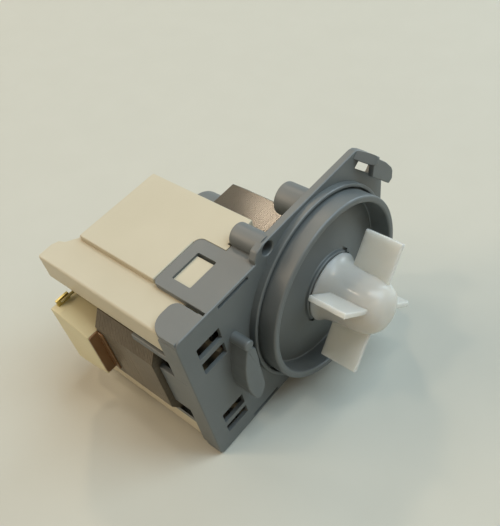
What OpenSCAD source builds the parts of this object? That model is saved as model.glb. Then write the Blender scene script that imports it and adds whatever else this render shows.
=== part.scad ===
// Drain pump of a washing machine, plug-in kind, with a permanent-magnet motor.
// +X runs along the shaft towards the impeller's nose, +Y from the coils to the rotor, +Z up.
// The origin is on the shaft's axis at the front face of the plate.

/* [Plate and spigot] */
// Outer diameter of the spigot ring
ring_od = 63; // [61:0.5:64]
// Wall of the spigot ring
ring_wall = 2.35; // [2:0.05:3]
// Height of the ring's rim in front of the plate
rim_h = 8.2; // [7.2:0.1:9.2]
// Height of the dish floor in front of the plate, at the impeller's hub
dish_h = 4; // [3.9:0.05:4.2]
// Height of the dish floor at the ring, where its cone ends
dish_edge_h = 0.4; // [0.2:0.05:1]
// Thickness of the plate
plate_t = 2.5; // [2.2:0.1:2.8]
// Distance from the shaft to the plate's edge at the coil end
plate_left = 56.5; // [56:0.5:58]
// Half height of the plate at the coil end, and of the coil cover
half_h = 30; // [30:0.5:31.5]
// Diameter of the screw hole in the ear
screw_d = 4.5; // [3.6:0.1:4.6]
// Height of the bayonet hooks in front of the plate
hook_h = 5.6; // [5:0.1:6.5]

/* [Core] */
// Distance from the plate's face back to the core
core_front = 14.5; // [14.2:0.1:14.8]
// Thickness of the stack of sheets
core_stack = 25.5; // [24:0.5:26]
// Half height of the core
core_half = 17; // [16.8:0.1:17.2]
// Width of each leg
leg_w = 7; // [6.5:0.1:7.2]
// Width of the yoke
yoke_w = 8.3; // [7.5:0.1:9]

/* [Coils] */
// Gap between the coil formers and the cover
wind_gap = 0.45; // [0.3:0.05:1]
// Wall of the coil formers
former_wall = 1; // [0.9:0.05:1.1]
// Diameter of the lead wires
wire_d = 1; // [0.8:0.1:1.2]

/* [Cover] */
// Distance from the plate's face to the back of the coil cover
cover_back = 55.5; // [55:0.5:57]
// Wall of the coil cover
cover_wall = 1.8; // [1.6:0.1:1.9]

/* [Rotor] */
// Diameter of the shaft
shaft_d = 4; // [3.6:0.1:4.2]
// Outer radius of the rotor can
can_r = 11.3; // [11.1:0.05:11.35]
// Wall of the rotor can
can_wall = 1.4; // [1.2:0.05:1.5]
// Gap between the magnet and the can
air_gap = 0.5; // [0.4:0.05:0.7]

/* [Impeller] */
// Radius of the paddles' tips
blade_r = 21.6; // [20.5:0.1:23]
// Thickness of the paddles
blade_t = 1.9; // [1.6:0.1:2.4]
// Length of the paddles along the shaft
blade_len = 13; // [11:0.1:13.5]
// Radius of the hub at its back
hub_r = 10.6; // [10.2:0.05:10.8]
// Angle of the first paddle above the rotor side
blade_turn = 48; // [0:1:89]

/* [Hidden] */
$fn = 96;
eps = 0.01;

// Clearances
run_gap = 0.03;
hub_gap = 0.05;
end_gap = 0.3;
seat_gap = 0.2;
can_gap = 0.3;

// Spigot ring, groove and step
ring_r = ring_od / 2;
ring_ir = ring_r - ring_wall;
groove_w = 1.1;
step_ir = ring_r + groove_w;
step_r = step_ir + 0.8;
step_h = 2.4;
edge = 0.45;
disc_r = step_r + 0.9;
dish_t = 2.5;

// Rotor can and bearing cap
shaft_r = shaft_d / 2;
chamber_r = can_r - can_wall;
can_back = -54;
can_floor = 2;
cap_r = 11;
cap_bore = cap_r + 0.1;
lip_r = cap_bore + 0.9;
lip_h = dish_h + 1;
lip_breaks = [35, 215];
cap_seat_x = 0.5;
cap_front_x = dish_h - 0.6;
bush_r = 4;
mount_r = 6;
seat_tube_r = 7.5;
seal_in_r = chamber_r - 1.3;
seal_x = [-1.6, -0.3];
cap_tail_x = -3;
cap_fit = 0.05;
front_bush_x = [-4.7, 1.3];
rear_bush_x = [-51.5, -46];
rear_cup_x = can_back + can_floor;

// Rotor
magnet_r = chamber_r - air_gap;
sleeve_r = 4;
magnet_x = [-43, -12];
collar_t = 1.5;
washer_t = 1.2;
sleeve_x = [rear_bush_x[1] + end_gap + washer_t, front_bush_x[0] - end_gap - washer_t];
shaft_x = [-51.2, 21.5];

// Impeller and its coupling
hub_back_x = dish_h + 0.5;
dome_x = 15;
dome_len = 12;
dome_r = hub_r - 1.2;
dome_power = 3;
cavity_r = 7.5;
cavity_x = [8.9, 15.1];
bore_end_x = 22.2;
hub_plate_t = 3.3;
plate_x = [cavity_x[0] - hub_plate_t, cavity_x[0]];
blade_x = 10.2;
dog_half = 22;
stop_half = 22;
damper_half = 29;
dog_hub_r = 3.6;
damper_in_r = dog_hub_r + 0.4;
damper_web = 0.6;

// Plate outline on the rotor side
ear_top = 34.6;
ear_y = -23.8;
ear_rise = [[-23.2, 31.6], [-21.8, 33.2], [-19.6, 34.3], [-16, 34.5], [-9, ear_top]];
hook_y = 24.6;
corner = [[26.4, 34.1], [28.6, 32.4], [31.2, 29.7], [36.5, 22.4], [37.6, 12.5], [36.8, 6]];
screw_pos = [-18, 31.6];
boss_pos = [-17.7, 30.9];
web_x = -11;
web_y = -15;
stop_gap = [0.4, 0];
boss_r = 3.9;
dowel_pos = [3.4, 28];
dowel_r = 5.3;
boss_x = -12;
screw_end_x = boss_x + 1.5;
skirt_t = 2;
vents = [[10, 15], [17.2, 21.8], [-17.5, -12.9], [-23.2, -19.5]];
vent_fields = [[9.5, 22.4], [-23.8, -12.3]];
vent_y = [-51, -41.8];
vent_wall = 1;

// Core
core_x = [-core_front - core_stack, -core_front];
yoke_y = -(plate_left + 1.8);
yoke_in = yoke_y + yoke_w;
leg_z = [core_half - leg_w, core_half];
tongue = [3, 1.5];
clip_c = [3.3, 5.5];
pole_y = 8.25;
core_stop_y = [-plate_left, yoke_in - 1.8];
finger_x = -23;

// Coil cover: a main block and a shelf towards the yoke
main_y = [-43.2, -11.7];
shelf_y = -(plate_left - 1.1);
shelf_z = [core_half + 1, half_h - 2];
shelf_back = -(cover_back + 7.4);
shelf_front = -8.6;
shelf_in_y = -47.4;
end_flange = [3.4, 0.8];
shelf_floor = 1.2;
lug_z = 10;
lug_gap = 0.4;
recess_x = -22.3;
recess_z = half_h - skirt_t - seat_gap;
boss_relief_z = boss_pos[1] - boss_r - seat_gap;
cavity_y = [main_y[0] + cover_wall, main_y[1] - cover_wall];
roof_t = 1;
cavity_roof = min(recess_z, boss_relief_z) - roof_t;
core_fit = 0.2;

// Coil formers and windings
former_fit = 0.25;
former_in_z = [leg_z[0] - former_fit, leg_z[1] + former_fit];
former_in_x = [core_x[0] - former_fit, core_x[1] + former_fit];
former_y = [cavity_y[0] + seat_gap, cavity_y[1] - seat_gap];
flange_t = 1.2;
flange_out = 0.6;
coil_gap = 1;
wind_t = min(cavity_roof - wind_gap - flange_out - former_in_z[1],
             former_in_z[0] - coil_gap / 2) - former_wall;
wind_z = [former_in_z[0] - former_wall - wind_t, former_in_z[1] + former_wall + wind_t];
wind_x = [former_in_x[0] - former_wall - wind_t, former_in_x[1] + former_wall + wind_t];
wind_y = [former_y[0] + flange_t, former_y[1] - flange_t];

// Clip and tab on the skirt
clip_y = [-43.9, ear_y];
clip_x = -21.7;
clip_win_y = [-40, -29];
clip_win_x = [-18, -10.3];
tab_y = -44.9;
tab_x = -11;

// Terminal block
block_x = [-57, core_x[0]];
block_y = [-62.3, main_y[0]];
block_z = 8.8;
post_x = -52.5;
post_y = -52;
post_z = 13;
block_end_z = 9.8;
block_step = [4, 2];
block_pad = [8, 12];
socket_x = -46;
socket_y = [-60.8, -52.5];
socket_z = 6.6;
strip_t = 0.8;
strip_y = [-60.2, -55.4];
blade_z = 3.5;
tag_x = -55.6;
tag_z = 15.5;
run_z = 7.3;
riser_x = -44.2;

// Leads
wire_r = wire_d / 2;
lead_x = wind_x[0] - wire_r;
lead_z = shelf_z[0] + 4;
lead_y = -51.2;
tag_wire_x = tag_x + strip_t + wire_r;
tag_wire_z = tag_z - 0.9;
link_z = leg_z[0] - 3;
cutout = [16, 7, 2.4];

// Shapes along the shaft and across it
module along_x(x0, x1) {
    translate([x0, 0, 0]) rotate([90, 0, 90]) linear_extrude(x1 - x0) children();
}

module rod_x(x0, x1, r, y = 0, z = 0) {
    translate([x0, y, z]) rotate([0, 90, 0]) cylinder(h = x1 - x0, r = r);
}

module tube_x(x0, x1, r0, r1) {
    difference() {
        rod_x(x0, x1, r1);
        rod_x(x0 - 1, x1 + 1, r0);
    }
}

module turned(points) {
    rotate([0, 90, 0]) rotate_extrude() polygon(points);
}

module box(x, y, z) {
    translate([x[0], y[0], z[0]]) cube([x[1] - x[0], y[1] - y[0], z[1] - z[0]]);
}

// Rectangle between two corners with rounded corners
module round_rect(a, b, r) {
    translate([a[0] + r, a[1]]) square([b[0] - a[0] - 2 * r, b[1] - a[1]]);
    translate([a[0], a[1] + r]) square([b[0] - a[0], b[1] - a[1] - 2 * r]);
    for (u = [a[0] + r, b[0] - r])
        for (v = [a[1] + r, b[1] - r])
            translate([u, v]) circle(r);
}

// Sector of a disc about the shaft, centred on an angle above the rotor side
module sector(r0, r1, half, mid) {
    difference() {
        intersection() {
            circle(r1);
            polygon([[0, 0],
                     [3 * r1 * cos(mid - half), 3 * r1 * sin(mid - half)],
                     [3 * r1 * cos(mid), 3 * r1 * sin(mid)],
                     [3 * r1 * cos(mid + half), 3 * r1 * sin(mid + half)]]);
        }
        circle(r0);
    }
}

// Wire along a list of points
module wire(points) {
    for (i = [0 : len(points) - 2]) {
        d = points[i + 1] - points[i];
        h = norm(d);
        translate(points[i])
            rotate([0, acos(d[2] / h), atan2(d[1], d[0])])
                cylinder(h = h, r = wire_r, $fn = 24);
    }
    for (i = [1 : 1 : len(points) - 2])
        translate(points[i]) sphere(wire_r, $fn = 24);
}

// Front plate: coil end, disc under the ring, ear on top and the two hook corners
module plate_outline() {
    round_rect([-plate_left, -half_h], [8, half_h], 2.2);
    circle(disc_r);
    polygon(concat([[0, 0], [ear_y, half_h - 4], [ear_y, half_h + 1]], ear_rise,
                   [[hook_y, ear_top]], corner, [[disc_r, 0]]));
    polygon(concat([[0, 0], [8, -half_h], [12, -ear_top], [hook_y, -ear_top]],
                   [for (p = corner) [p[0], -p[1]]], [[disc_r, 0]]));
}

// Bayonet hook: a wall that rises along the plate's corner, and a flat tab over the plate
module hook() {
    tab_t = 1.9;
    edge_turn = -51.3;
    intersection() {
        along_x(-eps, hook_h)
            polygon(concat([[hook_y, ear_top]], [for (i = [0 : 2]) corner[i]],
                           [[29.6, 27], [26.3, 30.1], [24.4, 31.9], [23.6, 33]]));
        rotate([edge_turn, 0, 0]) translate([0, 0, 30]) linear_extrude(20)
            polygon([[-eps, -10.6], [hook_h * 0.25, -9.3], [hook_h * 0.5, -7.7], [hook_h * 0.72, -6.2],
                     [hook_h * 0.84, -5.1], [hook_h * 0.84, 6], [-eps, 6]]);
    }
    along_x(hook_h - tab_t, hook_h)
        polygon([[28.8, 31.6], [29.8, 30.6], [33.6, 26.4], [36.4, 22.3], [36.9, 20.6], [36.5, 17.6],
                 [34.4, 16.9], [24.8, 27.3], [26.8, 29.8]]);
}

// Opening in the plate under the tab
module hook_window() {
    along_x(-plate_t - 1, 1) polygon([[26, 30], [34.2, 21.4], [32.2, 19.9], [23.7, 28.8]]);
}

// Finger that holds down the corner of the yoke
module core_finger() {
    y = yoke_y + clip_c[0];
    slope = clip_c[1] / clip_c[0];
    along_x(finger_x, -plate_t - 3)
        polygon([[y - 1.1, core_half + 0.1 - 1.1 * slope], [y - 0.05, core_half + 0.1],
                 [y + 1, core_half + 0.1], [y + 1, core_half + 0.9], [y - 1.1, core_half + 0.9]]);
}

// Lock lever: a bent wall with a round post at its upper end
module lock_lever() {
    along_x(-eps, hook_h + 0.4)
        polygon([[-39.3, 12], [-37.2, 11.4], [-36.1, 9.8], [-36, 5], [-36.3, 0], [-36.2, -5], [-36.5, -9.2],
                 [-38.2, -11.5], [-39.9, -12.5], [-41.2, -10.6], [-42.2, -7.2], [-42.8, -3.6], [-42.6, 0.5],
                 [-41.8, 4.9], [-40.6, 8.7]]);
    rod_x(-eps, hook_h + 0.6, 1.75, -38.1, 13.3);
}

// Clip, corner tab and skirt along one long edge of the plate
module edge_skirt() {
    z = [half_h - skirt_t, half_h];
    box([tab_x + 4, -plate_t + eps], [-plate_left, tab_y], z);
    translate([0, 0, z[0]]) linear_extrude(skirt_t) {
        round_rect([tab_x, -plate_left], [-plate_t - 1, tab_y], 3);
    }
    difference() {
        translate([0, 0, z[0]]) linear_extrude(skirt_t)
            round_rect([clip_x, clip_y[0]], [-plate_t + eps, clip_y[1]], 1);
        box(clip_win_x, clip_win_y, [z[0] - 1, z[1] + 1]);
    }
    box([-plate_t - 3, -plate_t + eps], clip_y, z);
}

module pump_body() {
    color([0.47, 0.49, 0.5])
    difference() {
        union() {
            difference() {
                along_x(-plate_t, 0) plate_outline();
                rod_x(-plate_t - 1, 1, ring_ir);
            }
            // Spigot ring with broken edges, and the step around its foot
            turned([[ring_ir, -plate_t], [ring_r, -plate_t], [ring_r, rim_h - edge],
                    [ring_r - edge, rim_h], [ring_ir + edge, rim_h], [ring_ir, rim_h - edge]]);
            // Low wall around the groove
            turned([[step_ir, -eps], [step_r, -eps], [step_r, step_h - 0.3],
                    [step_r - 0.3, step_h], [step_ir, step_h]]);
            // Dish floor, a low cone, with the lip around the impeller's hub
            turned([[cap_bore, dish_h - dish_t], [cap_bore, dish_h], [lip_r, dish_h],
                    [ring_ir + eps, dish_edge_h], [ring_ir + eps, dish_edge_h - dish_t],
                    [lip_r, dish_h - dish_t]]);
            tube_x(dish_h - dish_t, lip_h, cap_bore, lip_r);
            // Rotor can, closed at its back
            turned([[0, can_back], [can_r - 1.2, can_back], [can_r, can_back + 1.2],
                    [can_r, -1], [lip_r, -0.4], [lip_r, dish_h - eps], [cap_bore, dish_h - eps],
                    [cap_bore, cap_seat_x], [chamber_r, cap_seat_x], [chamber_r, rear_cup_x],
                    [seat_tube_r, rear_cup_x], [seat_tube_r, rear_bush_x[1]],
                    [mount_r, rear_bush_x[1]], [mount_r, rear_cup_x], [0, rear_cup_x]]);
            // Ear boss and dowel boss behind the plate
            rod_x(boss_x, -plate_t + eps, boss_r, boss_pos[0], boss_pos[1]);
            rod_x(boss_x, -plate_t + eps, dowel_r, dowel_pos[0], dowel_pos[1]);
            for (s = [0, 1]) mirror([0, 0, s]) {
                edge_skirt();
                hook();
                core_finger();
            }
            box([-7.7, -plate_t + eps], [-plate_left, -plate_left + skirt_t],
                [-half_h + 2.2, half_h - 2.2]);
            lock_lever();
            // Web between the upper clip and the ear's boss
            box([web_x, -plate_t + eps], [clip_y[1] - 1, web_y], [half_h - skirt_t, half_h]);
            // Ribs that the core stands against
            for (i = [0, 1]) box([core_x[1] + stop_gap[i], -plate_t + eps],
                                 [core_stop_y[i], core_stop_y[i] + 1.6],
                                 [-core_half + clip_c[1] + 2.3, core_half - clip_c[1] - 2.3]);
        }
        rod_x(screw_end_x, 1, screw_d / 2, screw_pos[0], screw_pos[1]);
        // Vent slots, and the thinner wall that they go through
        for (z = vents) box([-plate_t - 1, 1], vent_y, z);
        for (z = vent_fields) box([-plate_t - 1, -vent_wall], [vent_y[0] - 0.6, vent_y[1] + 0.6], z);
        // Two breaks in the lip
        for (a = lip_breaks) along_x(dish_h, lip_h + 1) sector(cap_bore - 1, lip_r + 1, 11, a);
        for (s = [0, 1]) mirror([0, 0, s]) {
            hook_window();
            // Slit at the clip's root
            box([-plate_t - 1, 1], [-40, -27.5], [half_h - 2.1, half_h - 0.9]);
            // Slit between the corner tab and the clip
            box([tab_x - 1, 1], [tab_y, clip_y[0]], [half_h - skirt_t, half_h + 1]);
        }
    }
}

// Plug that closes the rotor can and carries the front bush
module bearing_cap() {
    color([0.42, 0.44, 0.45])
    difference() {
        turned([[mount_r, front_bush_x[0]], [seat_tube_r, front_bush_x[0]], [seat_tube_r, cap_tail_x],
                [chamber_r - cap_fit, cap_tail_x], [chamber_r - cap_fit, seal_x[0]],
                [seal_in_r, seal_x[0]], [seal_in_r, seal_x[1]], [chamber_r - cap_fit, seal_x[1]],
                [chamber_r - cap_fit, cap_seat_x], [cap_r, cap_seat_x],
                [cap_r, cap_front_x], [shaft_r + 0.6, cap_front_x],
                [shaft_r + 0.6, front_bush_x[1]], [mount_r, front_bush_x[1]]]);
        // Three notches for the assembly tool
        for (a = [100, 220, 340])
            rotate([a, 0, 0]) box([cap_front_x - 1, cap_front_x + 1], [cap_r - 1.4, cap_r + 1],
                                  [-1.2, 1.2]);
    }
}

module cap_seal() {
    color([0.12, 0.12, 0.12]) tube_x(seal_x[0], seal_x[1], seal_in_r, chamber_r);
}

module front_bearing_mount() {
    color([0.12, 0.12, 0.12]) tube_x(front_bush_x[0], front_bush_x[1], bush_r, mount_r);
}

module rear_bearing_mount() {
    color([0.12, 0.12, 0.12]) tube_x(rear_bush_x[0], rear_bush_x[1], bush_r, mount_r);
}

module front_bearing() {
    color([0.3, 0.29, 0.28]) tube_x(front_bush_x[0], front_bush_x[1], shaft_r + run_gap, bush_r);
}

module rear_bearing() {
    color([0.3, 0.29, 0.28]) tube_x(rear_bush_x[0], rear_bush_x[1], shaft_r + run_gap, bush_r);
}

// Outline of the tongue that joins a leg to the yoke
function tongue_at(out = 0) = [[yoke_in + out, leg_z[0] + tongue[1]],
                               [yoke_in - tongue[0], leg_z[0] + tongue[1]],
                               [yoke_in - tongue[0], leg_z[1] - tongue[1]],
                               [yoke_in + out, leg_z[1] - tongue[1]]];

// Leg with its tongue, and the pole arc around the can
module pole_outline() {
    bore = can_r + can_gap;
    difference() {
        polygon(concat([[yoke_in, leg_z[0]]], tongue_at(), [[yoke_in, core_half], [pole_y, core_half],
                [12.7, 11.4], [13.6, 5.4], [10, 4.8], [4, 7], [0, leg_z[0]]]));
        circle(bore);
    }
}

module pole_upper() {
    color([0.42, 0.38, 0.31]) along_x(core_x[0], core_x[1]) pole_outline();
}

module pole_lower() {
    color([0.42, 0.38, 0.31]) mirror([0, 0, 1]) along_x(core_x[0], core_x[1]) pole_outline();
}

module yoke_stack() {
    color([0.31, 0.29, 0.26])
    along_x(core_x[0], core_x[1]) difference() {
        polygon([[yoke_in, -core_half], [yoke_in, core_half], [yoke_y + clip_c[0], core_half],
                 [yoke_y, core_half - clip_c[1]], [yoke_y, -core_half + clip_c[1]],
                 [yoke_y + clip_c[0], -core_half]]);
        for (s = [0, 1]) mirror([0, s]) polygon(tongue_at(1));
    }
}

// Coil former: a tube on the leg with a flange at each end
module bobbin() {
    slot = wire_d + 0.4;
    difference() {
        union() {
            box([former_in_x[0] - former_wall, former_in_x[1] + former_wall], former_y,
                [former_in_z[0] - former_wall, former_in_z[1] + former_wall]);
            for (y = [former_y[0], former_y[1] - flange_t])
                box([wind_x[0] - flange_out - wire_d, wind_x[1] + flange_out], [y, y + flange_t],
                    [max(0.3, wind_z[0] - flange_out), wind_z[1] + flange_out]);
        }
        box(former_in_x, [former_y[0] - 1, former_y[1] + 1], former_in_z);
        box([wind_x[0] - 4, lead_x + slot / 2], [former_y[0] - 1, former_y[0] + flange_t + eps],
            [lead_z - slot / 2, lead_z + slot / 2]);
    }
}

module bobbin_upper() {
    color([0.82, 0.79, 0.68]) bobbin();
}

module bobbin_lower() {
    color([0.82, 0.79, 0.68]) mirror([0, 0, 1]) bobbin();
}

module winding() {
    r = 3;
    translate([0, wind_y[1], 0]) rotate([90, 0, 0]) linear_extrude(wind_y[1] - wind_y[0])
        difference() {
            round_rect([wind_x[0], wind_z[0]], [wind_x[1], wind_z[1]], r);
            translate([former_in_x[0] - former_wall, former_in_z[0] - former_wall])
                square([former_in_x[1] - former_in_x[0] + 2 * former_wall,
                        former_in_z[1] - former_in_z[0] + 2 * former_wall]);
        }
}

module winding_upper() {
    color([0.62, 0.33, 0.16]) winding();
}

module winding_lower() {
    color([0.62, 0.33, 0.16]) mirror([0, 0, 1]) winding();
}

module coil_link() {
    y = (wind_y[0] + wind_y[1]) / 2;
    color([0.62, 0.33, 0.16]) wire([[lead_x, y, -link_z], [lead_x, y, link_z]]);
}

// Lead from a coil along the shelf, down through its floor and across the terminal's tag
module lead() {
    wire([[lead_x, wind_y[0] + 4, lead_z], [lead_x, lead_y, lead_z],
          [tag_wire_x, lead_y, lead_z], [tag_wire_x, lead_y, tag_wire_z],
          [tag_wire_x, strip_y[0] + 1.2, tag_wire_z]]);
}

module lead_upper() {
    color([0.66, 0.36, 0.18]) lead();
}

module lead_lower() {
    color([0.66, 0.36, 0.18]) mirror([0, 0, 1]) lead();
}

module thermal_cutout() {
    x = recess_x - cover_wall - 1 - cutout[0];
    y = (wind_y[0] + wind_y[1] - cutout[1]) / 2;
    color([0.75, 0.72, 0.62]) translate([0, 0, wind_z[1]]) linear_extrude(cutout[2])
        round_rect([x, y], [x + cutout[0], y + cutout[1]], 1.5);
}

// Coil cover: both halves of the shell, open towards the plate
module cover_half_solid() {
    box([-cover_back, recess_x], main_y, [0, half_h]);
    box([recess_x - eps, -plate_t], main_y, [0, cavity_roof + roof_t]);
    box([recess_x - eps, boss_x - 0.4], [clip_y[1] + 0.3, main_y[1]], [0, half_h]);
    // Lug that the clip's window drops over
    box([clip_win_x[0] + lug_gap, clip_win_x[1] - lug_gap],
        [clip_win_y[0] + lug_gap, clip_win_y[1] - lug_gap], [lug_z, half_h - 0.7]);
    translate([0, 0, shelf_z[0]]) linear_extrude(shelf_z[1] - shelf_z[0]) {
        round_rect([-cover_back - 2, shelf_y], [shelf_front, main_y[0] + eps], 1);
        round_rect([shelf_back, shelf_y], [-cover_back + 3, shelf_in_y], 1.5);
        round_rect([shelf_back, shelf_y - end_flange[1]],
                   [shelf_back + end_flange[0], shelf_in_y - 1], end_flange[1]);
    }
}

module cover_half_space() {
    front = -plate_t + 1;
    box([-cover_back + cover_wall, recess_x - cover_wall], cavity_y, [-1, half_h - cover_wall]);
    box([recess_x - cover_wall - eps, front], cavity_y,
        [-1, cavity_roof]);
    // Passage for the legs
    box([core_x[0] - core_fit, core_x[1] + core_fit], [main_y[0] - 1, main_y[1] + 1],
        [-1, core_half + core_fit]);
    // Room behind the plate's vents
    box([-plate_t - 5, front], [main_y[0] - 1, cavity_y[0] + eps], [vent_fields[0][0], 24]);
    // Space in the shelf for the leads
    inner_y = shelf_in_y - cover_wall + 1;
    box([shelf_back + cover_wall, shelf_front - cover_wall], [shelf_y + cover_wall, inner_y],
        [shelf_z[0] + shelf_floor, shelf_z[1] - cover_wall]);
    box([-cover_back + cover_wall, shelf_front - cover_wall], [inner_y - eps, cavity_y[0] + eps],
        [shelf_z[0] + shelf_floor, shelf_z[1] - cover_wall]);
    translate([tag_wire_x, lead_y, shelf_z[0] - 1]) cylinder(h = 4, r = wire_r + 0.4, $fn = 24);
}

module coil_cover() {
    color([0.86, 0.82, 0.7])
    difference() {
        for (s = [0, 1]) mirror([0, 0, s]) cover_half_solid();
        for (s = [0, 1]) mirror([0, 0, s]) cover_half_space();
    }
}

// Brass strip: a blade in the socket, a riser in the block and a tag on top
module strip() {
    box([tag_x + 1, riser_x], strip_y, [blade_z, blade_z + strip_t]);
    box([riser_x - strip_t, riser_x], strip_y, [blade_z, run_z + strip_t]);
    box([tag_x, riser_x], strip_y, [run_z, run_z + strip_t]);
    box([tag_x, tag_x + strip_t], strip_y, [run_z, tag_z]);
}

module terminal_upper() {
    color([0.72, 0.58, 0.24]) strip();
}

module terminal_lower() {
    color([0.72, 0.58, 0.24]) mirror([0, 0, 1]) strip();
}

module terminal_block() {
    color([0.84, 0.79, 0.62])
    difference() {
        union() {
            translate([0, 0, -block_z]) linear_extrude(2 * block_z) {
                round_rect([block_x[0], block_y[0]],
                           [block_x[1] - block_step[0], block_y[1] - block_step[1]], 1.2);
                translate([block_x[1] - block_pad[0], block_y[0]]) square(block_pad);
                translate([block_x[0] + block_step[0], block_y[1] - block_pad[0]])
                    square([block_pad[1], block_pad[0]]);
            }
            translate([0, 0, -post_z]) linear_extrude(2 * post_z)
                round_rect([block_x[0], block_y[0]], [post_x, post_y], 1.2);
            // Sloping top and bottom from the posts to the core
            translate([0, post_y, 0]) rotate([90, 0, 0]) linear_extrude(post_y - block_y[0])
                polygon([[post_x - 2, -post_z], [post_x, -post_z], [block_x[1], -block_end_z],
                         [block_x[1], block_end_z], [post_x, post_z], [post_x - 2, post_z]]);
        }
        box([block_x[0] - 1, socket_x], socket_y, [-socket_z, socket_z]);
        for (s = [0, 1]) mirror([0, 0, s]) strip();
    }
}

module rotor_shaft() {
    color([0.72, 0.73, 0.74])
    turned([[0, shaft_x[0]], [shaft_r - 0.3, shaft_x[0]], [shaft_r, shaft_x[0] + 0.3],
            [shaft_r, shaft_x[1] - 0.3], [shaft_r - 0.3, shaft_x[1]], [0, shaft_x[1]]]);
}

module rotor_sleeve() {
    color([0.2, 0.2, 0.21])
    turned([[shaft_r, sleeve_x[0]], [sleeve_r, sleeve_x[0]], [sleeve_r, magnet_x[0] - collar_t],
            [magnet_r - 2, magnet_x[0] - collar_t], [magnet_r - 2, magnet_x[0]],
            [sleeve_r, magnet_x[0]], [sleeve_r, magnet_x[1]], [magnet_r - 2, magnet_x[1]],
            [magnet_r - 2, magnet_x[1] + collar_t], [sleeve_r, magnet_x[1] + collar_t],
            [sleeve_r, sleeve_x[1]], [shaft_r, sleeve_x[1]]]);
}

module rotor_magnet() {
    color([0.16, 0.16, 0.17]) tube_x(magnet_x[0], magnet_x[1], sleeve_r, magnet_r);
}

module front_thrust_washer() {
    color([0.85, 0.84, 0.8]) tube_x(sleeve_x[1], sleeve_x[1] + washer_t, shaft_r, bush_r + 0.2);
}

module rear_thrust_washer() {
    color([0.85, 0.84, 0.8]) tube_x(sleeve_x[0] - washer_t, sleeve_x[0], shaft_r, bush_r + 0.2);
}

// Driver on the shaft, opposite the impeller's stop at rest
module drive_dog() {
    x = [cavity_x[0] + end_gap, cavity_x[1] - end_gap];
    color([0.25, 0.26, 0.27]) {
        along_x(x[0], x[1]) difference() {
            union() {
                circle(dog_hub_r);
                sector(dog_hub_r - 1, cavity_r - 0.4, dog_half, blade_turn + 180);
            }
            circle(shaft_r);
        }
    }
}

// Nose of the hub: a full rounded curve along the shaft
function hub_at(t) = [dome_r * pow(cos(t), 2 / dome_power),
                      dome_x + dome_len * pow(sin(t), 2 / dome_power)];

module impeller() {
    color([0.8, 0.8, 0.76])
    difference() {
        union() {
            turned(concat([[0, hub_back_x], [hub_r - 0.4, hub_back_x], [hub_r, hub_back_x + 0.4]],
                          [for (t = [0 : 5 : 85]) hub_at(t)], [[0, dome_x + dome_len]]));
            for (i = [0 : 3])
                rotate([blade_turn + 90 * i, 0, 0])
                    box([blade_x, blade_x + blade_len], [3, blade_r], [-blade_t / 2, blade_t / 2]);
        }
        difference() {
            rod_x(hub_back_x - 1, cavity_x[1], cavity_r);
            along_x(cavity_x[0], cavity_x[1] + eps)
                sector(damper_in_r + damper_web, cavity_r + eps, stop_half, blade_turn);
        }
        rod_x(cavity_x[1] - 1, bore_end_x, shaft_r + hub_gap);
    }
}

module hub_plate() {
    color([0.8, 0.8, 0.76]) tube_x(plate_x[0], plate_x[1], shaft_r + hub_gap, cavity_r);
}

// Rubber saddle on both sides of the impeller's stop
module coupling_damper() {
    color([0.13, 0.13, 0.13])
    along_x(cavity_x[0] + 0.2, cavity_x[1] - 0.2) difference() {
        sector(damper_in_r, cavity_r, damper_half, blade_turn);
        sector(damper_in_r + damper_web, cavity_r + 1, stop_half, blade_turn);
    }
}

pump_body();
bearing_cap();
cap_seal();
front_bearing_mount();
front_bearing();
rear_bearing_mount();
rear_bearing();
yoke_stack();
pole_upper();
pole_lower();
bobbin_upper();
bobbin_lower();
winding_upper();
winding_lower();
coil_link();
lead_upper();
lead_lower();
thermal_cutout();
coil_cover();
terminal_block();
terminal_upper();
terminal_lower();
rotor_shaft();
rotor_sleeve();
rotor_magnet();
front_thrust_washer();
rear_thrust_washer();
drive_dog();
impeller();
hub_plate();
coupling_damper();
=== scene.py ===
import math
import random

import bpy
from mathutils import Matrix, Vector


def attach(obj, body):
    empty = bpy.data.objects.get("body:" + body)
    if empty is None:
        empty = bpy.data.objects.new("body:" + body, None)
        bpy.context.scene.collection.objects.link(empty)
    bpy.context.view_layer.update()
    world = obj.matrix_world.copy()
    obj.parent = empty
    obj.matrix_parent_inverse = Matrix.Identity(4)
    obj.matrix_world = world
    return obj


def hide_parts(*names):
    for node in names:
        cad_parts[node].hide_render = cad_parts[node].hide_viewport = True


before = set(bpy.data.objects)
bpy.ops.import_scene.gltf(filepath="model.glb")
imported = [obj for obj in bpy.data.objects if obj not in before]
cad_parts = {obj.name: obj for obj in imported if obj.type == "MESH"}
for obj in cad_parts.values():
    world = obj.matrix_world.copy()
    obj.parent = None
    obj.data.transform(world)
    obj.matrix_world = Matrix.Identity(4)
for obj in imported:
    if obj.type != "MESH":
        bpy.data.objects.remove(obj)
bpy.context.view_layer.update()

# Pump body: one injection moulding in grey glass-filled plastic, with the front plate, the spigot
# ring and its dish, the hooks, the lock lever, the snap clips and the rotor can behind.
# The ring goes into the filter housing, and everything else is pushed on to this piece.
mm = 0.001


def clear_selection():
    if bpy.context.object and bpy.context.object.mode != "OBJECT":
        bpy.ops.object.mode_set(mode="OBJECT")
    bpy.ops.object.select_all(action="DESELECT")


def pick(piece):
    clear_selection()
    piece.select_set(True)
    bpy.context.view_layer.objects.active = piece


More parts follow.
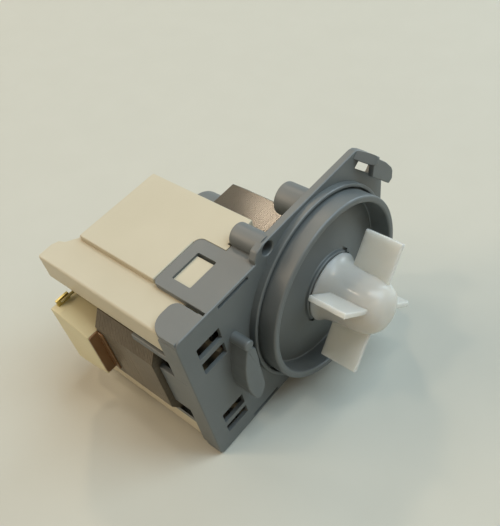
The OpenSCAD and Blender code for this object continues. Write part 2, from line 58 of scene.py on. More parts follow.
def rounded(corners, steps=5):
    """Corners as (a, b, radius): the same outline with an arc at each corner that has a radius."""
    line = []
    for i, (a, b, radius) in enumerate(corners):
        here = Vector((a, b))
        if radius <= 0:
            line.append(here)
            continue
        before = (Vector(corners[i - 1][:2]) - here).normalized()
        after = (Vector(corners[(i + 1) % len(corners)][:2]) - here).normalized()
        half = before.angle(after) / 2
        centre = here + (before + after).normalized() * radius / math.sin(half)
        start = here + before * radius / math.tan(half) - centre
        end = here + after * radius / math.tan(half) - centre
        sweep = start.angle_signed(end)
        for k in range(steps + 1):
            turn = Matrix.Rotation(-sweep * k / steps, 2)
            line.append(centre + turn @ start)
    return line


def arc(radius, start, end, steps, centre=(0, 0)):
    """Points on an arc from one angle to another, in radians."""
    line = []
    for k in range(steps + 1):
        turn = start + (end - start) * k / steps
        line.append((centre[0] + radius * math.cos(turn), centre[1] + radius * math.sin(turn)))
    return line


def round_edges(piece, width, steps, wanted):
    """Bevels the edges whose two ends pass the test."""
    pick(piece)
    bpy.context.tool_settings.mesh_select_mode = (False, True, False)
    bpy.ops.object.mode_set(mode="EDIT")
    bpy.ops.mesh.select_all(action="DESELECT")
    bpy.ops.object.mode_set(mode="OBJECT")
    points = piece.data.vertices
    for edge in piece.data.edges:
        edge.select = wanted(points[edge.vertices[0]].co, points[edge.vertices[1]].co)
    bpy.ops.object.mode_set(mode="EDIT")
    bpy.ops.mesh.bevel(offset=width * mm, segments=steps, profile=0.5, affect="EDGES",
                       clamp_overlap=False)
    bpy.ops.object.mode_set(mode="OBJECT")


def flat_blank(name, outline, along, low, high, edge_low=0.0, edge_high=0.0, steps=2):
    """An outline pushed out along one axis from low to high, with rounded rims."""
    axis = "XYZ".index(along)
    near = 1e-7
    clear_selection()
    bpy.ops.mesh.primitive_circle_add(vertices=len(outline), radius=1, fill_type="NGON")
    blank = bpy.context.object
    blank.name = name
    for point, place in zip(blank.data.vertices, outline):
        flat = [place[0] * mm, place[1] * mm]
        flat.insert(axis, low * mm)
        point.co = flat
    push = [0, 0, 0]
    push[axis] = (high - low) * mm
    bpy.ops.object.mode_set(mode="EDIT")
    bpy.ops.mesh.select_all(action="SELECT")
    bpy.ops.mesh.extrude_region_move(TRANSFORM_OT_translate={"value": push})
    bpy.ops.mesh.select_all(action="SELECT")
    bpy.ops.mesh.normals_make_consistent(inside=False)
    bpy.ops.object.mode_set(mode="OBJECT")
    for level, width in ((low * mm, edge_low), (high * mm, edge_high)):
        if width > 0:
            round_edges(blank, width, steps, lambda p, q: abs(p[axis] - level) < near
                        and abs(q[axis] - level) < near)
    return blank


def turned(name, profile, steps=128, y=0, z=0):
    """A profile of (x, radius) points spun about the X axis, or about a line parallel to it."""
    weld = 1e-6
    clear_selection()
    bpy.ops.mesh.primitive_circle_add(vertices=len(profile), radius=1, fill_type="NOTHING")
    piece = bpy.context.object
    piece.name = name
    for point, (x, radius) in zip(piece.data.vertices, profile):
        point.co = (x * mm, (y + radius) * mm, z * mm)
    bpy.ops.object.mode_set(mode="EDIT")
    bpy.ops.mesh.select_all(action="SELECT")
    bpy.ops.mesh.spin(steps=steps, angle=math.tau, center=(0, y * mm, z * mm), axis=(1, 0, 0))
    bpy.ops.mesh.select_all(action="SELECT")
    bpy.ops.mesh.remove_doubles(threshold=weld)
    bpy.ops.mesh.delete_loose(use_verts=True, use_edges=True, use_faces=False)
    bpy.ops.mesh.select_all(action="SELECT")
    bpy.ops.mesh.normals_make_consistent(inside=False)
    bpy.ops.object.mode_set(mode="OBJECT")
    return piece


def rounded_block(name, low, high, edge=0.0, steps=3):
    """A block between two corners with all its edges rounded."""
    size = [(b - a) * mm for a, b in zip(low, high)]
    middle = [(a + b) / 2 * mm for a, b in zip(low, high)]
    clear_selection()
    bpy.ops.mesh.primitive_cube_add(size=1, location=middle, scale=size)
    block = bpy.context.object
    block.name = name
    bpy.ops.object.transform_apply(location=True, rotation=False, scale=True)
    if edge > 0:
        round_edges(block, edge, steps, lambda p, q: True)
    return block


def combine(piece, tool, how):
    """Adds, cuts or intersects with another closed shape, which is used up."""
    step = piece.modifiers.new("fit", "BOOLEAN")
    step.operation = how
    step.solver = "MANIFOLD"
    step.object = tool
    pick(piece)
    bpy.ops.object.modifier_apply(modifier=step.name)
    bpy.data.objects.remove(tool)


def copy_of(piece, name):
    clear_selection()
    twin = piece.copy()
    twin.data = piece.data.copy()
    twin.name = name
    bpy.context.scene.collection.objects.link(twin)
    return twin


def lower_twin(piece, name):
    """The same shape on the lower side of the pump, mirrored in Z."""
    twin = copy_of(piece, name)
    pick(twin)
    bpy.ops.object.mode_set(mode="EDIT")
    bpy.ops.mesh.select_all(action="SELECT")
    bpy.ops.transform.mirror(constraint_axis=(False, False, True), center_override=(0, 0, 0))
    bpy.ops.mesh.normals_make_consistent(inside=False)
    bpy.ops.object.mode_set(mode="OBJECT")
    return twin


def add_both_sides(piece, part):
    """Adds a part of the upper side, and the same part mirrored below."""
    combine(piece, lower_twin(part, "lower_part"), "UNION")
    combine(piece, part, "UNION")


def smooth(piece):
    """Smooth faces with crisp creases, as a polished mould leaves them."""
    crease = math.radians(34)
    pick(piece)
    bpy.ops.object.shade_smooth_by_angle(angle=crease)
    even = piece.modifiers.new("even", "WEIGHTED_NORMAL")
    even.keep_sharp = True
    bpy.ops.object.modifier_apply(modifier=even.name)


def finish(piece, material):
    piece.data.materials.clear()
    piece.data.materials.append(material)


# Plate outline in (y, z), from the left end over the top to the hooks and back.
# What stands on the plate is rooted a little inside it, so that the shapes join.
plate_back, plate_root = -2.5, -0.6
plate_left, plate_half, rim_half, disc_r, waist_y = -56.5, 30, 34.6, 34.3, 34.3
rim_left, rim_right, rim_foot = -9, 24.6, 12
hook_corner = [(26.4, 34.1), (28.6, 32.4), (31.2, 29.7), (34.2, 25.9), (36.5, 22.4), (37.6, 12.5),
               (36.8, 6)]
disc_start, disc_end = math.atan2(-32.70, 10.35), math.atan2(-30, -16.63)
plate_corners = [
    (plate_left, -plate_half, 2.2), (plate_left, plate_half, 2.2), (-23.8, plate_half, 0),
    (-23.7, 31.3, 0.5), (-22.2, 33.5, 1.5), (-19.4, 34.4, 3), (rim_left, rim_half, 0),
    (rim_right, rim_half, 0)]
plate_corners += [(y, z, 0) for y, z in hook_corner] + [(waist_y, 0, 0)]
plate_corners += [(y, -z, 0) for y, z in reversed(hook_corner)]
plate_corners += [(rim_right, -rim_half, 0), (rim_foot, -rim_half, 0)]
plate_corners += [(y, z, 0) for y, z in arc(disc_r, disc_start, disc_end, 12)]
pump_body = flat_blank("pump_body_moulding", rounded(plate_corners), "X", plate_back, 0,
                       edge_low=0.25, edge_high=0.4, steps=3)
dish_room_r = 30.3
dish_room = turned("dish_room", [(-5, 0), (-5, dish_room_r), (5, dish_room_r), (5, 0)])
combine(pump_body, dish_room, "DIFFERENCE")

# Spigot ring, dish, lip, seat of the cap, rotor can and rear bush socket in one turn of a profile.
ring_front, ring_r, dish_r = 8.2, 31.5, 29.15
lip_front, lip_r, cap_seat, cap_seat_r = 5.3, 12.2, 0.5, 10.8
can_back, can_floor, can_r, can_bore_r, can_foot_r = -54, -52, 11.3, 9.9, 12
socket_front, socket_r, socket_bore_r = -46, 7.5, 6
ring_profile = rounded([
    (ring_front, ring_r, 0.7), (ring_front, dish_r, 0.8), (0.4, dish_r, 0.4), (4, lip_r, 0.5),
    (lip_front, lip_r, 0.5), (lip_front, cap_seat_r, 0.3), (cap_seat, cap_seat_r, 0),
    (cap_seat, can_bore_r, 0), (can_floor, can_bore_r, 0.6), (can_floor, socket_r, 0.3),
    (socket_front, socket_r, 0.2), (socket_front, socket_bore_r, 0),
    (can_floor, socket_bore_r, 0), (can_floor, 0, 0), (can_back, 0, 0), (can_back, can_r, 1.3),
    (-1, can_r, 0.5), (-0.3, can_foot_r, 0.3), (1.5, can_foot_r, 0.8), (-2.1, dish_r, 0),
    (plate_back, dish_r, 0), (plate_back, ring_r, 0)])
ring = turned("spigot_ring", ring_profile)
lip_break_angles = (35, 215)
for angle in lip_break_angles:
    lip_break = rounded_block("lip_break", (3.2, 10.4, -1.8), (6, 13, 1.8))
    lip_break.data.transform(Matrix.Rotation(math.radians(angle), 4, "X"))
    combine(ring, lip_break, "DIFFERENCE")
combine(pump_body, ring, "UNION")

# Low wall outside the groove.
wall_root, wall_front, wall_bore_r, wall_r = -0.8, 2.4, 32.1, 33.35
groove_wall = turned("groove_wall", rounded([
    (wall_root, wall_bore_r, 0), (wall_root, wall_r, 0), (wall_front, wall_r, 0.5),
    (wall_front, wall_bore_r, 0.4)]))
combine(pump_body, groove_wall, "UNION")

# Bosses behind the plate: a blind screw hole in the ear, and a dowel beside it.
boss_root, boss_back = -1, -12
for y, z, radius in ((-17.7, 30.9, 3.9), (3.4, 28, 5.3)):
    boss = turned("boss", rounded([
        (boss_root, 0, 0), (boss_back, 0, 0), (boss_back, radius, 0.9), (boss_root, radius, 0)]),
        steps=64, y=y, z=z)
    combine(pump_body, boss, "UNION")

# Snap clip and corner tab, above and below: a sprung frame that catches the cover's lug.
clip_under, clip_top = 28, 30
clip_back, clip_left, clip_right = -21.7, -43.9, -23.8
clip = flat_blank("snap_clip", rounded([
    (plate_root, clip_left, 0), (clip_back, clip_left, 2.0), (clip_back, clip_right, 2.4),
    (plate_root, clip_right, 0)]), "Z", clip_under, clip_top, edge_low=0.3, edge_high=0.35)
window_back, window_front, window_left, window_right = -17.6, -10.3, -39.8, -28.7
clip_window = flat_blank("clip_window", rounded([
    (window_back, window_left, 0.5), (window_back, window_right, 0.5),
    (window_front, window_right, 0.5), (window_front, window_left, 0.5)]),
    "Z", clip_under - 1, clip_top + 1)
combine(clip, clip_window, "DIFFERENCE")
tab_back, tab_right = -11.3, -44.9
tab = flat_blank("corner_tab", rounded([
    (plate_root, -56.2, 0), (tab_back, -56.4, 5.8), (tab_back, tab_right, 3.0),
    (plate_root, tab_right, 0)], steps=8), "Z", clip_under, clip_top, edge_low=0.3, edge_high=0.35)
for part in (clip, tab):
    add_both_sides(pump_body, part)

# Skirt at the left end, two stops for the core, and fingers that hold the yoke.
skirt_back, skirt_half, skirt_outer, skirt_inner = -7.7, 27.8, -56.4, -54.5
skirt = flat_blank("left_skirt", rounded([
    (skirt_back, -skirt_half, 0.8), (skirt_back, skirt_half, 0.8), (plate_root, skirt_half, 0),
    (plate_root, -skirt_half, 0)]), "Y", skirt_outer, skirt_inner, edge_low=0.3, edge_high=0.2)
combine(pump_body, skirt, "UNION")
stop_root, stop_thick, stop_half = -1.2, 1.6, 9.2
for back, y in ((-14.1, -56.45), (-14.5, -51.8)):
    core_stop = rounded_block("core_stop", (back, y, -stop_half),
                              (stop_root, y + stop_thick, stop_half), edge=0.25)
    combine(pump_body, core_stop, "UNION")
finger_back, finger_front = -23, -5.5
finger = flat_blank("core_finger", rounded([
    (-56.1, 15.27, 0.15), (-55.05, 17.1, 0), (-54, 17.1, 0), (-54, 17.9, 0.2),
    (-56.1, 17.9, 0.4)], steps=3), "X", finger_back, finger_front, edge_low=0.3)
add_both_sides(pump_body, finger)
web_back, web_left, web_right, flush_step = -11, -24.6, -15, 0.02
web = flat_blank("clip_web", rounded([
    (web_back, web_left, 0), (web_back, web_right, 0), (plate_root, web_right, 0),
    (plate_root, web_left, 0)]), "Z", clip_under + flush_step, clip_top - flush_step,
    edge_low=0.2, edge_high=0.3)
combine(pump_body, web, "UNION")

# Lock lever with its round post, standing on the front of the plate.
lever_front, post_front, post_r = 6, 6.2, 1.75
lever = flat_blank("lock_lever", rounded([
    (-39.3, 12, 0.3), (-37.2, 11.4, 0.5), (-36.1, 9.8, 0.6), (-36, 5, 2), (-36.3, 0, 3),
    (-36.2, -5, 3), (-36.5, -9.2, 0.8), (-38.2, -11.5, 0.6), (-39.9, -12.5, 0.5),
    (-41.2, -10.6, 0.8), (-42.2, -7.2, 1.5), (-42.8, -3.6, 1.5), (-42.6, 0.5, 1.8),
    (-41.8, 4.9, 1.8), (-40.6, 8.7, 1.5)], steps=3), "X", plate_root, lever_front,
    edge_high=0.4, steps=3)
combine(pump_body, lever, "UNION")
post = turned("lever_post", rounded([
    (plate_root, 0, 0), (plate_root, post_r, 0), (post_front, post_r, 0.5), (post_front, 0, 0)]),
    steps=48, y=-38.1, z=13.3)
combine(pump_body, post, "UNION")

# Bayonet hooks: a ramped wall at the corner, and a tongue that reaches over the housing's rim.
hook_front, hook_angle, ramp_low, ramp_high = 4.7, -51.3, 28, 50
tongue_back, tongue_front = 2.6, 4.5
hook = flat_blank("hook_wall", [
    (24.6, 34.5), (26.35, 34.0), (28.5, 32.35), (31.1, 29.6), (29.6, 27), (26.3, 30.1),
    (24.4, 31.9), (23.6, 33)], "X", plate_root, hook_front, edge_high=0.7, steps=3)
ramp = flat_blank("hook_ramp", [
    (-1, -12), (0, -10.6), (1.4, -9.3), (2.8, -7.7), (4.03, -6.2), (4.9, -4.8), (4.9, 6),
    (-1, 6)], "Z", ramp_low, ramp_high)
ramp.data.transform(Matrix.Rotation(math.radians(hook_angle), 4, "X"))
combine(hook, ramp, "INTERSECT")
tongue = flat_blank("hook_tongue", rounded([
    (29.4, 30.2, 0), (30.7, 29.1, 0), (34.5, 24.9, 0), (37.2, 20.9, 0.8), (37.7, 19.2, 0.9),
    (37.3, 16.2, 0.5), (35.3, 15.4, 0.5), (26.6, 24.9, 0.4), (27.6, 28.3, 0)], steps=3),
    "X", tongue_back, tongue_front, edge_low=0.3, edge_high=0.45)
combine(hook, tongue, "UNION")

# Through cuts start behind the plate and end in front of it.
cut_back, cut_front = -4, 1
hook_window = flat_blank("hook_window", rounded([
    (26, 30, 0.3), (34.2, 21.4, 0.3), (32.2, 19.9, 0.3), (23.7, 28.8, 0.3)], steps=3),
    "X", cut_back, cut_front)
for side in (lower_twin, copy_of):
    combine(pump_body, side(hook_window, "hook_window_cut"), "DIFFERENCE")
    combine(pump_body, side(hook, "bayonet_hook"), "UNION")
for pattern in (hook, hook_window):
    bpy.data.objects.remove(pattern)

# Screw hole, vent slots in thinner fields, and the slits that free the clips.
screw_r, screw_mouth_r, screw_floor, screw_mouth = 2.25, 2.85, -10.5, 0.3
cuts = [turned("screw_hole", rounded([
    (screw_floor, 0, 0), (screw_floor, screw_r, 0), (-screw_mouth, screw_r, 0),
    (screw_mouth, screw_mouth_r, 0), (screw_mouth, 0, 0)]),
    steps=64, y=-18, z=31.6)]
field_front, field_left, field_right = -1.3, -51.6, -41.2
for low, high in ((7.6, 22.4), (-25.6, -12.3)):
    cuts.append(rounded_block("vent_field", (cut_back, field_left, low),
                              (field_front, field_right, high)))
slot_left, slot_right = -51, -41.8
for low, high in ((10, 15), (17.2, 21.8), (-17.5, -12.9), (-23.2, -19.5)):
    cuts.append(flat_blank("vent_slot", rounded([
        (slot_left, low, 0.3), (slot_left, high, 0.3), (slot_right, high, 0.3),
        (slot_right, low, 0.3)], steps=3), "X", cut_back, cut_front))
cuts.append(rounded_block("slit_field", (cut_back, -39.9, 24.5), (-0.9, -27.6, clip_under)))
slit_back, slit_left, slit_right, slit_low, slit_high = -9, -40, -27.5, 27.9, 29.1
tab_slit_back, tab_slit_low, tab_slit_high = -12, 27.6, 31
for side in (1, -1):
    low, high = sorted((side * slit_low, side * slit_high))
    cuts.append(rounded_block("clip_slit", (slit_back, slit_left, low),
                              (cut_front, slit_right, high)))
    low, high = sorted((side * tab_slit_low, side * tab_slit_high))
    cuts.append(rounded_block("tab_slit", (tab_slit_back, tab_right, low),
                              (plate_root, clip_left, high)))
for tool in cuts:
    combine(pump_body, tool, "DIFFERENCE")
smooth(pump_body)


def node_material(name):
    """A new material, its skin shader, and the piece's own coordinates."""
    material = bpy.data.materials.new(name)
    material.use_nodes = True
    nodes = material.node_tree.nodes
    place = nodes.new("ShaderNodeTexCoord").outputs["Object"]
    return material, nodes["Principled BSDF"], place


def noise(material, place, scale, detail):
    """A cloudy pattern, finer with a larger scale."""
    cloud = material.node_tree.nodes.new("ShaderNodeTexNoise")
    cloud.inputs["Scale"].default_value = scale
    cloud.inputs["Detail"].default_value = detail
    material.node_tree.links.new(place, cloud.inputs["Vector"])
    return cloud.outputs["Fac"]


def two_tones(material, pattern, shade, colour, spread):
    """Base colour that goes from one tone to the other round the pattern's middle."""
    tone = material.node_tree.nodes.new("ShaderNodeValToRGB")
    tone.color_ramp.elements[0].position = 0.5 - spread
    tone.color_ramp.elements[0].color = (*shade, 1)
    tone.color_ramp.elements[1].position = 0.5 + spread
    tone.color_ramp.elements[1].color = (*colour, 1)
    skin = material.node_tree.nodes["Principled BSDF"]
    material.node_tree.links.new(pattern, tone.inputs["Fac"])
    material.node_tree.links.new(tone.outputs["Color"], skin.inputs["Base Color"])


def uneven_gloss(material, pattern, low, high):
    """Roughness between two values, as handling and wear leave it."""
    gloss = material.node_tree.nodes.new("ShaderNodeMapRange")
    gloss.inputs["To Min"].default_value = low
    gloss.inputs["To Max"].default_value = high
    skin = material.node_tree.nodes["Principled BSDF"]
    material.node_tree.links.new(pattern, gloss.inputs["Value"])
    material.node_tree.links.new(gloss.outputs["Result"], skin.inputs["Roughness"])


def fine_relief(material, pattern, strength, depth):
    """Marks too small to model, given by their depth in millimetres."""
    relief = material.node_tree.nodes.new("ShaderNodeBump")
    relief.inputs["Strength"].default_value = strength
    relief.inputs["Distance"].default_value = depth * mm
    skin = material.node_tree.nodes["Principled BSDF"]
    material.node_tree.links.new(pattern, relief.inputs["Height"])
    material.node_tree.links.new(relief.outputs["Normal"], skin.inputs["Normal"])


def moulded_plastic(name, colour, shade, roughness, grain=0.02, shine=0.5):
    """Moulded plastic: a little cloudiness, a finely eroded skin and faint rub marks."""
    material, skin, place = node_material(name)
    skin.inputs["Specular IOR Level"].default_value = shine
    cloud = noise(material, place, scale=55, detail=5)
    rub = noise(material, place, scale=230, detail=6)
    pores = noise(material, place, scale=2600, detail=3)
    two_tones(material, cloud, shade, colour, spread=0.18)
    uneven_gloss(material, rub, low=roughness - 0.07, high=roughness + 0.09)
    fine_relief(material, pores, strength=0.35, depth=grain)
    return material


grey_plastic = moulded_plastic("grey_moulding", (0.118, 0.130, 0.130), (0.108, 0.120, 0.120),
                               roughness=0.48, grain=0.03, shine=0.9)
finish(pump_body, grey_plastic)
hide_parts("pump_body")
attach(pump_body, "body")

# Rotor, bushes and the cap that closes the can: turned and moulded parts that sit inside the can.
# The magnet is pressed ferrite on a moulded sleeve, the bushes are sintered bronze in rubber rings.
ferrite = moulded_plastic("ferrite", (0.060, 0.058, 0.058), (0.045, 0.044, 0.045),
                          roughness=0.55, grain=0.03)
nylon = moulded_plastic("sleeve_nylon", (0.62, 0.60, 0.54), (0.55, 0.53, 0.47), roughness=0.4)
washer_white = moulded_plastic("washer_white", (0.72, 0.71, 0.67), (0.66, 0.65, 0.60),
                               roughness=0.35)
rubber = moulded_plastic("seal_rubber", (0.025, 0.025, 0.026), (0.018, 0.018, 0.019),
                         roughness=0.6)
bronze = moulded_plastic("bush_bronze", (0.36, 0.24, 0.12), (0.29, 0.19, 0.10), roughness=0.42)
cap_grey = moulded_plastic("cap_grey", (0.21, 0.225, 0.23), (0.18, 0.195, 0.20),
                           roughness=0.5, grain=0.03)
inner_finishes = {
    "rotor_magnet": ferrite, "rotor_sleeve": nylon, "bearing_cap": cap_grey, "cap_seal": rubber,
    "front_thrust_washer": washer_white, "rear_thrust_washer": washer_white,
    "front_bearing": bronze, "rear_bearing": bronze,
    "front_bearing_mount": rubber, "rear_bearing_mount": rubber,
}
for node, material in inner_finishes.items():
    finish(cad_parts[node], material)


def stretched(material, place, stretch):
    """Coordinates pressed together along one axis, so that marks run across it."""
    lay = material.node_tree.nodes.new("ShaderNodeMapping")
    lay.inputs["Scale"].default_value = stretch
    material.node_tree.links.new(place, lay.inputs["Vector"])
    return lay.outputs["Vector"]


def drawn_metal(name, colour, shade, roughness, stretch, fine=900):
    """Bare metal with fine drawing or rolling marks along one way."""
    material, skin, place = node_material(name)
    skin.inputs["Metallic"].default_value = 1
    marks = noise(material, stretched(material, place, stretch), scale=fine, detail=4)
    two_tones(material, marks, shade, colour, spread=0.2)
    uneven_gloss(material, marks, low=roughness - 0.08, high=roughness + 0.1)
    fine_relief(material, marks, strength=0.3, depth=0.02)
    return material


ground_steel = drawn_metal("ground_steel", (0.62, 0.62, 0.62), (0.5, 0.5, 0.5),
                           roughness=0.25, stretch=(8, 1, 1))
finish(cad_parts["rotor_shaft"], ground_steel)

# Laminated core: stamped sheets of electrical steel, varnished and stacked, a yoke at the left end
# and two legs with pole faces round the rotor can. The legs are pressed into the yoke.
sheet_count, sheet_gap, sheet_edge, sheet_shift = 39, 0.05, 0.04, 0.02
core_low, core_high = -40.0, -14.5
sheet_pitch = (core_high - core_low) / sheet_count
yoke_left, yoke_shoulder, yoke_face, yoke_half = -58.3, -55, -50, 11.5
leg_low, leg_high, rotor_room = 10, 17, 11.6
tongue_end, tongue_low, tongue_high = -53, 11.5, 15.5

# Outlines in (y, z): the joint of leg and yoke, one leg with its pole face, and the whole yoke.
joint = [(yoke_face, tongue_low), (tongue_end, tongue_low), (tongue_end, tongue_high),
         (yoke_face, tongue_high), (yoke_face, leg_high)]
leg_line = [(yoke_face, leg_low)] + joint + [(8.25, leg_high), (12.7, 11.4), (13.6, 5.4)]
leg_line += arc(rotor_room, math.atan2(4.8, 10.56), math.atan2(10.0, -5.88), 14)
yoke_upper = joint + [(yoke_shoulder, leg_high), (yoke_left, yoke_half)]
yoke_line = [(y, -z) for y, z in reversed(yoke_upper)] + yoke_upper


def stack(name, outline, seed):
    """The stamped sheet drawn once, and the rest of the stack copied from it with tiny shifts."""
    draw = random.Random(seed)
    sheet = flat_blank(name, outline, "X", core_low, core_low + sheet_pitch - sheet_gap,
                       edge_low=sheet_edge, edge_high=sheet_edge, steps=1)
    copies = []
    for k in range(1, sheet_count):
        twin = copy_of(sheet, f"{name}_sheet_{k}")
        shift = (k * sheet_pitch, draw.uniform(-sheet_shift, sheet_shift),
                 draw.uniform(-sheet_shift, sheet_shift))
        twin.data.transform(Matrix.Translation(Vector(shift) * mm))
        copies.append(twin)
    pick(sheet)
    for twin in copies:
        twin.select_set(True)
    bpy.ops.object.join()
    return sheet


yoke = stack("yoke_sheets", yoke_line, seed=3)
leg_upper = stack("upper_leg_sheets", leg_line, seed=5)
leg_lower = lower_twin(leg_upper, "lower_leg_sheets")


def varnished_steel(name, shade, colour):
    """Cut edges of silicon steel under thin brown varnish, with fine scoring across each sheet."""
    material, skin, place = node_material(name)
    skin.inputs["Metallic"].default_value = 0.05
    skin.inputs["Specular IOR Level"].default_value = 0.12
    skin.inputs["Coat Weight"].default_value = 0.2
    skin.inputs["Coat Roughness"].default_value = 0.12
    burr = noise(material, stretched(material, place, (3, 1, 1)), scale=900, detail=4)
    cloud = noise(material, place, scale=70, detail=3)
    blend = material.node_tree.nodes.new("ShaderNodeMix")
    blend.inputs["Factor"].default_value = 0.5
    material.node_tree.links.new(burr, blend.inputs["A"])
    material.node_tree.links.new(cloud, blend.inputs["B"])
    two_tones(material, blend.outputs["Result"], shade, colour, spread=0.15)
    uneven_gloss(material, burr, low=0.30, high=0.46)
    fine_relief(material, burr, strength=0.3, depth=0.02)
    return material


# The same varnished steel in two tones: the yoke is painted lighter, a painted reflection of the
# floor's light in its side, and the legs are painted darker, a painted shade over their lit tops.
yoke_steel_painted_light = varnished_steel("yoke_sheet_steel_painted_light", (0.125, 0.104, 0.074), (0.190, 0.158, 0.113))
leg_steel_painted_shade = varnished_steel("leg_sheet_steel_painted_shade", (0.066, 0.054, 0.038), (0.100, 0.082, 0.058))
for piece, node, steel in ((yoke, "yoke_stack", yoke_steel_painted_light), (leg_upper, "pole_upper", leg_steel_painted_shade),
                           (leg_lower, "pole_lower", leg_steel_painted_shade)):
    finish(piece, steel)
    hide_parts(node)
    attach(piece, "body")

# Coils: enamelled copper wire on moulded formers, with soft leads, a link wire and a thermal
# cut-out that lies on the upper coil. They are slid on to the legs before the cover goes on.
former_black = moulded_plastic("former_black", (0.05, 0.05, 0.052), (0.04, 0.04, 0.042),
                               roughness=0.45)
copper = drawn_metal("enamelled_copper", (0.62, 0.27, 0.12), (0.42, 0.16, 0.07),
                     roughness=0.3, stretch=(1, 9, 1), fine=420)
cutout_case = moulded_plastic("cutout_case", (0.62, 0.58, 0.47), (0.55, 0.51, 0.41), roughness=0.5)
lead_sleeve = moulded_plastic("lead_sleeve", (0.42, 0.34, 0.13), (0.36, 0.29, 0.10), roughness=0.4)
coil_finishes = {
    "bobbin_upper": former_black, "bobbin_lower": former_black,
    "winding_upper": copper, "winding_lower": copper, "coil_link": copper,
    "lead_upper": lead_sleeve, "lead_lower": lead_sleeve, "thermal_cutout": cutout_case,
}
for node, material in coil_finishes.items():
    finish(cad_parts[node], material)

# Coil cover: a hollow cream moulding that slides over both coils, with a lower shelf at the yoke
# end that holds the leads. Its lugs snap into the windows of the grey clips.
cover_half, coil_room_half, front_half, front_room_half = 30, 28.2, 26.8, 25.8
cover = rounded_block("coil_cover_moulding", (-55.5, -43.2, -cover_half),
                      (-21.95, -11.7, cover_half), edge=0.45)
cover_front = rounded_block("cover_front", (-24, -43.1, -front_half), (-2.5, -11.8, front_half),
                            edge=0.2)
combine(cover, cover_front, "UNION")
# Parts of the upper side, each by two corners and the rounding of its edges, and again below.
upper_parts = {
    "band_beside_clip": ((-24, -23.78, 20), (-12.3, -11.7, cover_half), 0.15),
    "band_corner": ((-12.6, -23.76, 20), (-11.15, -21.75, 29.96), 0.1),
    "far_edge": ((-55.48, -12.5, 21), (-12.4, -10.5, 29.98), 0.4),
    "clip_corner_pad": ((-22.3, -27, 20), (-18.5, -23.7, 27.95), 0),
    "clip_lug": ((-17.6, -39.6, 24), (-10.7, -29.4, 29.3), 0.3),
    "lead_shelf": ((-57.5, -55.4, 18.4), (-8.6, -42.0, 28), 0.9),
}
for side in (1, -1):
    for name, ((x0, y0, z0), (x1, y1, z1), edge) in upper_parts.items():
        low, high = sorted((side * z0, side * z1))
        combine(cover, rounded_block(name, (x0, y0, low), (x1, y1, high), edge), "UNION")

# Filling round the clip's corner, and the end of the shelf past the block.
fill_x, fill_y, fill_r, fill_back, fill_right = -19.3, -26.2, 2.45, -22.4, -23.3
corner_fill = [(fill_back, fill_y)]
corner_fill += arc(fill_r, math.pi, math.pi / 2, 6, (fill_x, fill_y))
corner_fill += [(fill_x, fill_right), (fill_back, fill_right)]
fill = flat_blank("clip_corner_fill", corner_fill, "Z", 27.5, 29.97)
shelf_end = flat_blank("shelf_end", rounded([
    (-62.9, -55.38, 1.2), (-62.9, -49.6, 1.5), (-61.9, -47.3, 1.0), (-59.6, -46.3, 1.0),
    (-57.4, -43.1, 0.5), (-55, -42.2, 0), (-52.5, -42.2, 0), (-52.5, -55.38, 0)]),
    "Z", 18.42, 27.98, edge_low=0.6, edge_high=0.6, steps=3)
for part in (fill, shelf_end):
    add_both_sides(cover, part)

# Rooms inside: the coils behind and in front, the core's way through, air behind the vent slots,
# and the leads in both shelves.
shelf_floor, shelf_roof = 19.2, 26.2
rooms = [
    ((-53.7, -41.4, -coil_room_half), (-24.1, -13.5, coil_room_half)),
    ((-24.5, -41.4, -front_room_half), (-1.5, -13.5, front_room_half)),
    ((-40.2, -60, -17.2), (-14.3, 0, 17.2)),
    ((-7.5, -44.2, 9.5), (-1.5, -41.3, 24)), ((-7.5, -44.2, -24), (-1.5, -41.3, -9.5))]
for side in (1, -1):
    low, high = sorted((side * shelf_floor, side * shelf_roof))
    rooms.append(((-55.7, -53.6, low), (-10.4, -44.0, high)))
    rooms.append(((-53.7, -44.5, low), (-10.4, -41.0, high)))
for low, high in rooms:
    combine(cover, rounded_block("cover_room", low, high), "DIFFERENCE")
smooth(cover)
cover_plastic = moulded_plastic("cream_moulding", (0.60, 0.546, 0.415), (0.575, 0.523, 0.393),
                                roughness=0.42, grain=0.02, shine=0.28)
finish(cover, cover_plastic)
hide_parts("coil_cover")
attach(cover, "body")

# Terminal block: a cream moulding behind the yoke with a plug socket and two bent brass strips.
# A thin brown sheet lies on the side of the core, over the block's face towards the plate: its
# brown is painted shade on that face. The block is clipped to the shelf of the cover.
block_back, block_front, block_left = -57, -40, -62.3
foot_half, front_wall_half, slope_half, slope_start = 8.8, 9.8, 13, -52.5
block = flat_blank("terminal_block_moulding", rounded([
    (block_back, block_left, 1.2), (block_back, -45.2, 1.2), (-53, -45.2, 0), (-53, -43.4, 0.4),
    (-41, -43.4, 0.4), (-41, -50.3, 0), (block_front, -50.3, 0.3), (block_front, block_left, 0.8)]),
    "Z", -foot_half, foot_half, edge_low=0.4, edge_high=0.4, steps=3)
slope = flat_blank("terminal_slope", rounded([
    (block_back, -slope_half, 0.5), (slope_start, -slope_half, 1.5),
    (block_front, -front_wall_half, 0.3), (block_front, front_wall_half, 0.3),
    (slope_start, slope_half, 1.5), (block_back, slope_half, 0.5)], steps=3),
    "Y", block_left + flush_step, -52.02, edge_low=0.5, edge_high=0.3, steps=3)
combine(block, slope, "UNION")
plug_socket = rounded_block("plug_socket", (-60, -60.8, -6.6), (-46, -52.5, 6.6))
combine(block, plug_socket, "DIFFERENCE")
smooth(block)
block_plastic = moulded_plastic("block_cream", (0.70, 0.63, 0.40), (0.67, 0.60, 0.37),
                                roughness=0.42)
finish(block, block_plastic)
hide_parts("terminal_block")
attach(block, "body")
